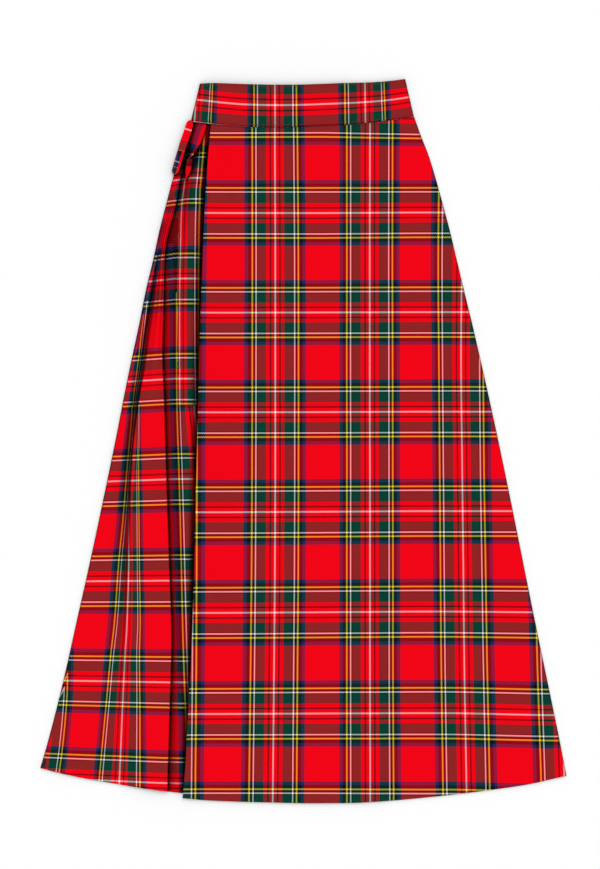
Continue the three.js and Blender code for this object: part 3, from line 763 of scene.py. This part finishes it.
def band_rows(section_at):
    top_ends = BAND_TOP[0]["x"], BAND_TOP[-1]["x"]
    low_ends = BAND_LOW[0]["x"], BAND_LOW[-1]["x"]
    rows, cloth = [], []
    for i in range(BAND_ROWS + 1):
        down = i / BAND_ROWS
        left, right = (lerp(top, low, down) for top, low in zip(top_ends, low_ends))
        section = section_at(left, right)
        row, lines = [], []
        for x, z in section.points:
            share = (x - left) / (right - left)
            top, low = band_top(lerp(*top_ends, share)), band_low(lerp(*low_ends, share))
            row.append((x, lerp(top, low, down), z))
            line = band_lines(x)
            upright = x - line["lean"] * (down - 0.5)
            sett = -lerp(line["top"], line["low"], down)
            lines.append((between(BAND_WARP, upright) / SETT, sett))
        rows.append(row)
        cloth.append(lines)
    return rows, cloth


def inner_band(height, hidden_end):
    inset = BAND_WALL / 2 + BAND_ROLL + GAP

    def section_at(left, right):
        section = Section()
        section.to(left + inset, height)
        section.run(min(hidden_end, right - inset), height, 0, BAND_STEPS)
        return section

    return section_at


def front_band(left, right):
    step, end = hidden_edge(WAIST_ROW) + PAST_EDGE, right - BAND_WALL / 2
    section = Section()
    section.roll(left + BAND_WALL / 2, BAND_OVER_MID, BAND_ROLL, True)
    section.run(step, BAND_OVER_MID, 0, BAND_STEPS)
    section.run(step + STEP_DOWN, BAND_UNDER_MID, 0, BAND_LAYER_STEPS)
    section.run(end - BAND_ROLL - STEP_DOWN, BAND_UNDER_MID, 0, BAND_END_STEPS)
    section.run(end - BAND_ROLL, BAND_UNDER_MID, 0, SEAM_STEPS)
    section.points.pop()  # the roll starts with this point
    section.roll(end, BAND_UNDER_MID, BAND_ROLL, False)
    return section


# %% The three stretches of waistband
under_band = inner_band(BAND_UNDER_MID, hidden_edge(WAIST_ROW))
back_band = inner_band(BAND_BACK_MID, math.inf)
waistband_front = make_sheet("waistband_front_cloth", *band_rows(front_band), BAND_THICKNESS)
waistband_under = make_sheet("waistband_under_cloth", *band_rows(under_band), BAND_THICKNESS)
waistband_back = make_sheet("waistband_back_cloth", *band_rows(back_band), BAND_THICKNESS)

# %% [markdown]
# ## Stitches along the waistband
#
# A machine closes the waistband with a line of short stitches near its lower edge, and a second line
# keeps the upper fold sharp. The thread matches the red of the cloth, so it hardly shows. One stitch
# is modelled and copied, and the copies of one line become one object.

# %% One stitch, and its material
STITCH_LONG, STITCH_WIDE, STITCH_STEP = 2.6, 0.5, 3.6
STITCH_INSET = 2.6  # from the waistband's edge
STITCH_END = 7  # the lines stop this far from the ends
BAND_FLAT = 150  # the waistband's rounded ends lie beyond this on both sides


def plain_material(name, colour, finish):
    material = bpy.data.materials.new(name)
    material.use_nodes = True
    shader = material.node_tree.nodes["Principled BSDF"]
    shader.inputs["Base Color"].default_value = linear(colour)
    for socket, value in finish.items():
        shader.inputs[socket].default_value = value
    return material


bpy.ops.object.select_all(action="DESELECT")
bpy.ops.mesh.primitive_uv_sphere_add(segments=8, ring_count=6, radius=0.5)
one_stitch = bpy.context.object
one_stitch.scale = (STITCH_LONG * MM, STITCH_WIDE * MM, STITCH_WIDE * MM)
bpy.ops.object.transform_apply(location=False, rotation=False, scale=True)
bpy.ops.object.shade_smooth()
one_stitch.data.materials.append(plain_material("polyester_thread", "#A30F1C", {"Roughness": 0.6}))


# %% Lines of stitches
def band_surface():
    section = front_band(BAND_LOW[0]["x"], BAND_LOW[-1]["x"])
    return curve([{"x": x, "z": z} for x, z in section.points if abs(x) < BAND_FLAT], "x", "z")


band_z = band_surface()


def stitch_line(name, left, right, height_at):
    copies = []
    x = left
    while x < right:
        slope = math.atan2(height_at(x + 1) - height_at(x - 1), 2)
        stitch = one_stitch.copy()
        stitch.data = one_stitch.data.copy()
        stitch.location = (x * MM, height_at(x) * MM, (band_z(x) + BAND_THICKNESS / 2) * MM)
        stitch.rotation_euler = (0, 0, slope)
        bpy.context.scene.collection.objects.link(stitch)
        copies.append(stitch)
        x += STITCH_STEP * math.cos(slope)
    settle(copies[0])
    for stitch in copies:
        stitch.select_set(True)
    bpy.ops.object.join()
    line = bpy.context.object
    line.name = name
    bpy.ops.object.transform_apply(location=True, rotation=True, scale=True)
    print(name, "has", len(copies), "stitches")
    return line


lower_stitches = stitch_line(
    "waistband_lower_stitches", BAND_LOW[0]["x"] + STITCH_END, BAND_LOW[-1]["x"] - STITCH_END,
    lambda x: band_low(x) + STITCH_INSET,
)
upper_stitches = stitch_line(
    "waistband_upper_stitches", BAND_TOP[0]["x"] + STITCH_END, BAND_TOP[-1]["x"] - STITCH_END,
    lambda x: band_top(x) - STITCH_INSET,
)
bpy.data.objects.remove(one_stitch)

# %% [markdown]
# ## The ties
#
# At the left hip hang the two ends of the tie: a loop, which is a narrow strap doubled back on itself,
# and a tail, a strip that turns over once and ends in a point. Both are cut from the same cloth.

# %% Ties: centre lines and widths
TIE_WALL = 1.4
LOOP = table(
    "x y width",
    (-163.4, 462.2, 9.5), (-166, 452, 10.6), (-171.7, 435, 11), (-177.4, 417, 10.6),
    (-182, 401, 10.8), (-186, 387.6, 10),
)
TAIL = table(
    "x y width roll",
    (-147.2, 459.7, 15, 0), (-150.4, 449, 15.4, 0), (-154, 438, 14.8, 2), (-157.8, 427.5, 12.6, 10),
    (-160.6, 418.6, 10.6, 34), (-162.6, 412.4, 9, 76), (-163.4, 409.4, 9, 106),
    (-164.6, 404.6, 9, 142), (-166, 395, 7.6, 168), (-168.4, 384, 5, 178), (-170.6, 377, 2.6, 180),
)
LOOP_TILT = 12  # degrees; the loop's right edge is the higher one
LOOP_HOLLOW = 1  # mm of air between its two layers
TAIL_REST, LOOP_REST = (9, 2.5), (3, 0)  # a tie clears all cloth this near, along and aside


def rest_height(x, y, half_width, rest):
    along, aside = rest
    near = [
        point_z
        for row_y in (y - along, y, y + along)
        for point_x, point_z in under_section(row_y).points
        if abs(point_x - x) <= half_width + aside
    ]
    return max(near) + WALL / 2 + GAP


def fine(rows, steps):
    """The rows of a table, with smooth rows between them."""
    numbered = [dict(row, at=i) for i, row in enumerate(rows)]
    value = columns(numbered, "at")
    return [value(i / steps) for i in range((len(rows) - 1) * steps + 1)]


# %% The tail
TAIL_STEPS, ACROSS_STEPS = 8, 14
TAIL_POINT, TAIL_TIP = 14, 0.25  # its end narrows over this length, to this share of its width


def resting(row):
    roll = math.radians(row["roll"])
    flat, upright = abs(math.cos(roll)) * row["width"], abs(math.sin(roll)) * row["width"]
    return dict(
        row, z=rest_height(row["x"], row["y"], flat / 2, TAIL_REST) + (TIE_WALL + upright) / 2
    )


tail_path = fine([resting(row) for row in TAIL], TAIL_STEPS)
for row in tail_path:
    row["width"] *= lerp(TAIL_TIP, 1, ease((row["y"] - TAIL[-1]["y"]) / TAIL_POINT))
# Which threads lie along the tail, by height. From its top: red field, navy, black and yellow, and
# then, where it has turned over, navy, black and red again.
TAIL_WEFT = [
    (373, 80), (397, 68), (397.2, 57), (407, 51), (407.2, 58), (412, 64), (412.2, 47.5), (415, 50.5),
    (422, 57), (429, 64), (430, 66), (460, 98),
]
# And from its left edge to its right one: black, navy and red. Its other side shows red only.
TAIL_WARP = [(-1, 53), (-0.5, 57.5), (0.35, 64), (0.4, 66), (1, 72)]
TURNED_WARP = 70
tail_rows, tail_lines = [], []
for i, row in enumerate(tail_path):
    before, after = tail_path[max(0, i - 1)], tail_path[min(len(tail_path) - 1, i + 1)]
    along = Vector([after[axis] - before[axis] for axis in "xyz"])
    along.normalize()
    level = Vector((0, 0, 1)).cross(along).normalized()
    up = along.cross(level)
    roll = math.radians(row["roll"])
    across = level * math.cos(roll) + up * math.sin(roll)
    turned = row["roll"] > 90
    middle = Vector([row[axis] for axis in "xyz"])
    points, lines = [], []
    for k in range(ACROSS_STEPS + 1):
        side = k / ACROSS_STEPS * 2 - 1
        points.append(tuple(middle + across * side * row["width"] / 2))
        warp = TURNED_WARP if turned else between(TAIL_WARP, -side if across.x < 0 else side)
        lines.append((warp / SETT, between(TAIL_WEFT, row["y"]) / SETT))
    tail_rows.append(points)
    tail_lines.append(lines)
tie_tail = make_sheet("tie_tail_cloth", tail_rows, tail_lines, TIE_WALL - 0.2)

# %% The loop
LOOP_STEPS, LOOP_TURN = 14, 10  # steps between two marks, and steps in a turn at its ends
half = (TIE_WALL + LOOP_HOLLOW) / 2
run = Vector((LOOP[-1]["x"] - LOOP[0]["x"], LOOP[-1]["y"] - LOOP[0]["y"], 0)).normalized()
loop_across = Vector((-run.y, run.x, math.sin(math.radians(LOOP_TILT)))).normalized()
coarse_loop = [
    dict(row, z=rest_height(row["x"], row["y"], row["width"] / 2, LOOP_REST) + half + TIE_WALL / 2)
    for row in LOOP
]
END_ROUND = 3.6  # the two ends of the loop are round within this length
END_WIDTH = 0.62  # and end with this share of the width
# Which threads lie along the loop, by height, and across its lower part. It is pieced at LOOP_SEAM;
# above that, and right of LOOP_RED_FROM below it, its threads are from a red field.
LOOP_SEAM, LOOP_RED_FROM = 420.6, 0.74
LOOP_WEFT = [
    (386.6, 68), (387.4, 66), (387.6, 20), (396, 37), (396.1, 66), (396.6, 67), (396.8, 58), (402.6, 64),
    (402.8, 39.7), (404.6, 42.3), (404.8, 64), (420.4, 54), (420.8, 37), (432, 20), (432.2, 9), (441, 7),
    (449.9, 1.5), (451.5, -1.5), (454, -3), (462.5, -8),
]
LOOP_WARP = [(0, 67), (0.08, 66), (0.1, 63.5), (0.62, 52), (0.64, 66), (1, 72)]


def rounded(row):
    here = row["x"], row["y"]
    end = min(math.dist(here, (tip["x"], tip["y"])) for tip in (LOOP[0], LOOP[-1]))
    short = max(0, 1 - end / END_ROUND)
    return dict(row, width=row["width"] * lerp(END_WIDTH, 1, math.sqrt(1 - short**2)))


loop_middle = [rounded(row) for row in fine(coarse_loop, LOOP_STEPS)]


def loop_place(row, angle, way):
    """A place on the loop, from its upper layer at an angle of 0 to its lower one, and the width."""
    out, up = way * half * math.sin(angle), half * math.cos(angle)
    return Vector((row["x"] + run.x * out, row["y"] + run.y * out, row["z"] + up)), row["width"]


loop_turn = [i / LOOP_TURN * math.pi for i in range(1, LOOP_TURN)]
loop_path = [loop_place(row, 0, 1) for row in loop_middle]
loop_path += [loop_place(loop_middle[-1], angle, 1) for angle in loop_turn]
loop_path += [loop_place(row, math.pi, 1) for row in reversed(loop_middle)]
loop_path += [loop_place(loop_middle[0], angle, -1) for angle in reversed(loop_turn)]
loop_rows, loop_lines = [], []
for place, width in loop_path + loop_path[:1]:
    points, lines = [], []
    for k in range(ACROSS_STEPS + 1):
        share = k / ACROSS_STEPS
        points.append(tuple(place + loop_across * (share - 0.5) * width))
        lower = place.y < LOOP_SEAM
        warp = between(LOOP_WARP, share) if lower else IN_RED
        weft = IN_RED if lower and share > LOOP_RED_FROM else between(LOOP_WEFT, place.y)
        lines.append((warp / SETT, weft / SETT))
    loop_rows.append(points)
    loop_lines.append(lines)
tie_loop = make_sheet("tie_loop_cloth", loop_rows, loop_lines, TIE_WALL - 0.2)

# %% [markdown]
# ## Tartan cloth
#
# The cloth is a 2/2 twill of wool: each thread across passes over two and under two threads down, one
# step further in each row, so that both colours show in a fine diagonal. Where a colour crosses
# itself it is pure, and where two colours cross the eye sees their mixture. The finish is soft and
# matt, with a little fuzz that catches light at a flat angle.
# Where other cloth lies near, shade is painted into the cloth's colour.

# %% Colours, and one function that adds a node
RED, GREEN, BLACK, NAVY = "#F20315", "#063F32", "#0E0D11", "#1E2A60"
YELLOW, WHITE = "#FFE428", "#FFFFFC"


def add(tree, kind, settings=None, links=None):
    """Adds a node, sets its attributes and sockets, and links other nodes' outputs to its inputs."""
    node = tree.nodes.new(kind)
    for name, value in (settings or {}).items():
        if isinstance(name, str) and hasattr(node, name):
            setattr(node, name, value)
        else:
            node.inputs[name].default_value = value
    for name, source in (links or {}).items():
        tree.links.new(source, node.inputs[name])
    return node


# Half of the sett in threads, from the middle of a white line of 3 to the middle of a red field of 71.
HALF_SETT = [
    (WHITE, 1.5), (RED, 7), (BLACK, 3), (RED, 8), (GREEN, 18), (BLACK, 2), (WHITE, 3), (BLACK, 5),
    (YELLOW, 3), (BLACK, 7), (NAVY, 7), (RED, 35.5),
]
print("threads in the sett:", 2 * sum(count for colour, count in HALF_SETT))

# %% The tartan as a material
TWILL = 4  # threads in one step of the diagonal
LEAST_OVER, MOST_OVER = 0.3, 0.7  # how much of the threads across shows, along the diagonal
EYE_GAMMA = 1.9  # two colours in fine diagonals blend to this power in the eye
# Painted shade: the cloth's colour is darkened where other cloth is near, that is in folds, under the
# ties and beside the edges of the layers, so that deep folds look as dark as real ones.
PAINTED_SHADE_REACH, PAINTED_SHADE_POWER = 30, 6  # mm, and the power


def tartan():
    """The cloth's material. The UV map gives it the setts across and down."""
    material = bpy.data.materials.new("wool_tartan_twill")
    material.use_nodes = True
    tree = material.node_tree
    tree.nodes.clear()

    def maths(operation, source, by):
        return add(tree, "ShaderNodeMath", {"operation": operation, 1: by}, {0: source})

    cloth = add(tree, "ShaderNodeUVMap", {"uv_map": "cloth"})
    parts = add(tree, "ShaderNodeSeparateXYZ", links={0: cloth.outputs[0]})
    threads, colours = [], []
    for way in (0, 1):
        count = maths("MULTIPLY", parts.outputs[way], SETT)
        threads.append(count.outputs[0])
        place = maths("PINGPONG", count.outputs[0], SETT / 2)
        share = maths("DIVIDE", place.outputs[0], SETT / 2)
        stripes = add(tree, "ShaderNodeValToRGB", links={0: share.outputs[0]})
        ramp = stripes.color_ramp
        ramp.interpolation = "CONSTANT"
        at = 0
        for i, (colour, width) in enumerate(HALF_SETT):
            stop = ramp.elements[i] if i < 2 else ramp.elements.new(at / (SETT / 2))
            stop.position = at / (SETT / 2)
            stop.color = linear(colour)
            at += width
        seen = add(tree, "ShaderNodeGamma", {1: 1 / EYE_GAMMA}, {0: stripes.outputs[0]})
        colours.append(seen.outputs[0])
    diagonal = add(tree, "ShaderNodeMath", {"operation": "ADD"}, {0: threads[0], 1: threads[1]})
    turn = maths("MULTIPLY", diagonal.outputs[0], 2 * math.pi / TWILL)
    wave = add(tree, "ShaderNodeMath", {"operation": "SINE"}, {0: turn.outputs[0]})
    over = add(
        tree, "ShaderNodeMapRange",
        {"From Min": -1, "From Max": 1, "To Min": LEAST_OVER, "To Max": MOST_OVER},
        {0: wave.outputs[0]},
    )
    # A colour mix has its factor at socket 0 and its two colours at 6 and 7, and its result at 2.
    parts_shown = {0: over.outputs[0], 6: colours[0], 7: colours[1]}
    blend = add(tree, "ShaderNodeMix", {"data_type": "RGBA"}, parts_shown)
    woven = add(tree, "ShaderNodeGamma", {1: EYE_GAMMA}, {0: blend.outputs[2]})
    # Painted shade: the woven colour is multiplied by the occlusion within the reach, raised to the
    # power, so cloth near other cloth is painted darker.
    near = add(tree, "ShaderNodeAmbientOcclusion", {"samples": 16, "Distance": PAINTED_SHADE_REACH * MM})
    painted_fold_shade = maths("POWER", near.outputs["AO"], PAINTED_SHADE_POWER)
    painted_shade_colour = add(
        tree, "ShaderNodeVectorMath", {"operation": "SCALE"},
        {0: woven.outputs[0], "Scale": painted_fold_shade.outputs[0]},
    )
    ribs = {"Strength": 0.25, "Distance": 0.2 * MM}
    bump = add(tree, "ShaderNodeBump", ribs, {"Height": wave.outputs[0]})
    cloth_shader = add(
        tree, "ShaderNodeBsdfPrincipled",
        {"Roughness": 0.85, "IOR": 1.45, "Specular IOR Level": 0.03, "Sheen Weight": 0.01,
         "Sheen Roughness": 0.4},
        {"Base Color": painted_shade_colour.outputs[0], "Normal": bump.outputs[0]},
    )
    add(tree, "ShaderNodeOutputMaterial", links={0: cloth_shader.outputs[0]})
    return material


tartan_cloth = tartan()
print(tartan_cloth.name, "has", len(tartan_cloth.node_tree.nodes), "nodes")

# %% [markdown]
# ## Putting it together
#
# Every piece of cloth stands for one plain piece, which is hidden, and rides on the skirt's one body. A
# table lists the size each was cut to, how it lies and what it lies on. The stitches only ride along.

# %% Say what each piece is
CUTS = {
    "back_panel": (back_panel, (0.76, 0.99), "laid", [], 0.56),
    "under_panel": (under_panel, (0.52, 0.99), "gathered", ["back_panel"], 0.36),
    "over_panel": (over_panel, (0.56, 1.0), "laid", ["under_panel"], 0.45),
    "waistband_back": (waistband_back, (0.31, 0.062), "laid", [], None),
    "waistband_under": (waistband_under, (0.215, 0.062), "laid", ["waistband_back"], None),
    "waistband_front": (waistband_front, (0.325, 0.062), "laid", ["waistband_under"], None),
    "tie_loop": (tie_loop, (0.011, 0.17), "folded", ["under_panel"], None),
    "tie_tail": (tie_tail, (0.012, 0.087), "folded", ["under_panel"], None),
}
for node, (piece, flat, held, rests_on, area) in CUTS.items():
    piece.data.materials.append(tartan_cloth)
    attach(piece, "root")
    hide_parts(node)
for line in (lower_stitches, upper_stitches):
    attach(line, "root")
print(len(CUTS), "sheets and 2 lines of stitches ride on the skirt's body")

# %% [markdown]
# ## The table, the light and the camera
#
# A white floor and soft light from above, a little from the waist's side and from the right, so that
# each layer throws a thin, soft shadow towards the hem and the left. The camera looks straight down.

# %% Floor
bpy.ops.object.select_all(action="DESELECT")
bpy.ops.mesh.primitive_plane_add(size=8, location=(0, 0, 0))
floor = bpy.context.object
floor.name = "floor"
card_finish = {"Roughness": 0.9, "Specular IOR Level": 0.1}
floor.data.materials.append(plain_material("matt_white_card", "#FFFFFF", card_finish))
floor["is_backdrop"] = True

# %% Light and camera
scene = bpy.context.scene
scene.view_settings.view_transform = "Standard"
world = bpy.data.worlds.new("soft_room")
world.use_nodes = True
room = world.node_tree.nodes["Background"]
room.inputs["Color"].default_value = (1, 1, 1, 1)
room.inputs["Strength"].default_value = 0.8
scene.world = world
sun_data = bpy.data.lights.new("window", "SUN")
sun_data.energy, sun_data.angle = 0.67, math.radians(30)
sun = bpy.data.objects.new("window", sun_data)
sun.rotation_euler = (math.radians(-20), math.radians(6), 0)
scene.collection.objects.link(sun)

camera_data = bpy.data.cameras.new("camera")
camera_data.lens, camera_data.clip_end = 200, 20
camera = bpy.data.objects.new("camera", camera_data)
camera.location = (-0.0047, 0.0096, 6.99)
scene.collection.objects.link(camera)
scene.camera = camera
print("the camera's lens is", camera_data.lens, "mm, and it stands", camera.location.z, "m up")

# %% Show the box of the finished scene, and finish
looks_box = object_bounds()
show(looks_box)
